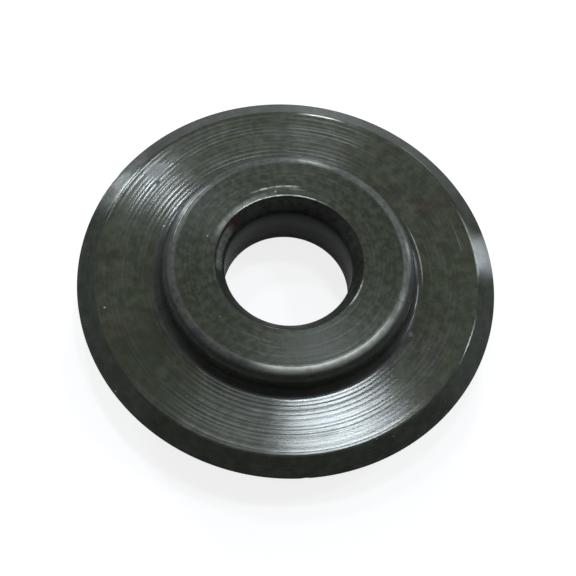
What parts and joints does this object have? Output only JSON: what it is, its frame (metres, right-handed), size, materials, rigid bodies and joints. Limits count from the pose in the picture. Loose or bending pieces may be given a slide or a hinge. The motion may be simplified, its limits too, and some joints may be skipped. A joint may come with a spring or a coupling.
{
  "type": "pipe cutter wheel",
  "caption": "Blackened steel cutter wheel: a thin round web with a double-bevelled cutting edge, and a raised hub on both faces with a plain bore that turns on a pin.",
  "frame": {"origin": "centre of the bore, in the plane of the cutting edge", "axes": "+Z along the bore; the wheel is the same on both sides of z = 0 and round about Z"},
  "size_m": [0.0318, 0.0318, 0.0062],
  "materials": {
    "blackened_steel": "black oxide over fine turning marks, satin"
  },
  "bodies": {
    "root": {"cutter_wheel": "blackened_steel"}
  },
  "joints": []
}
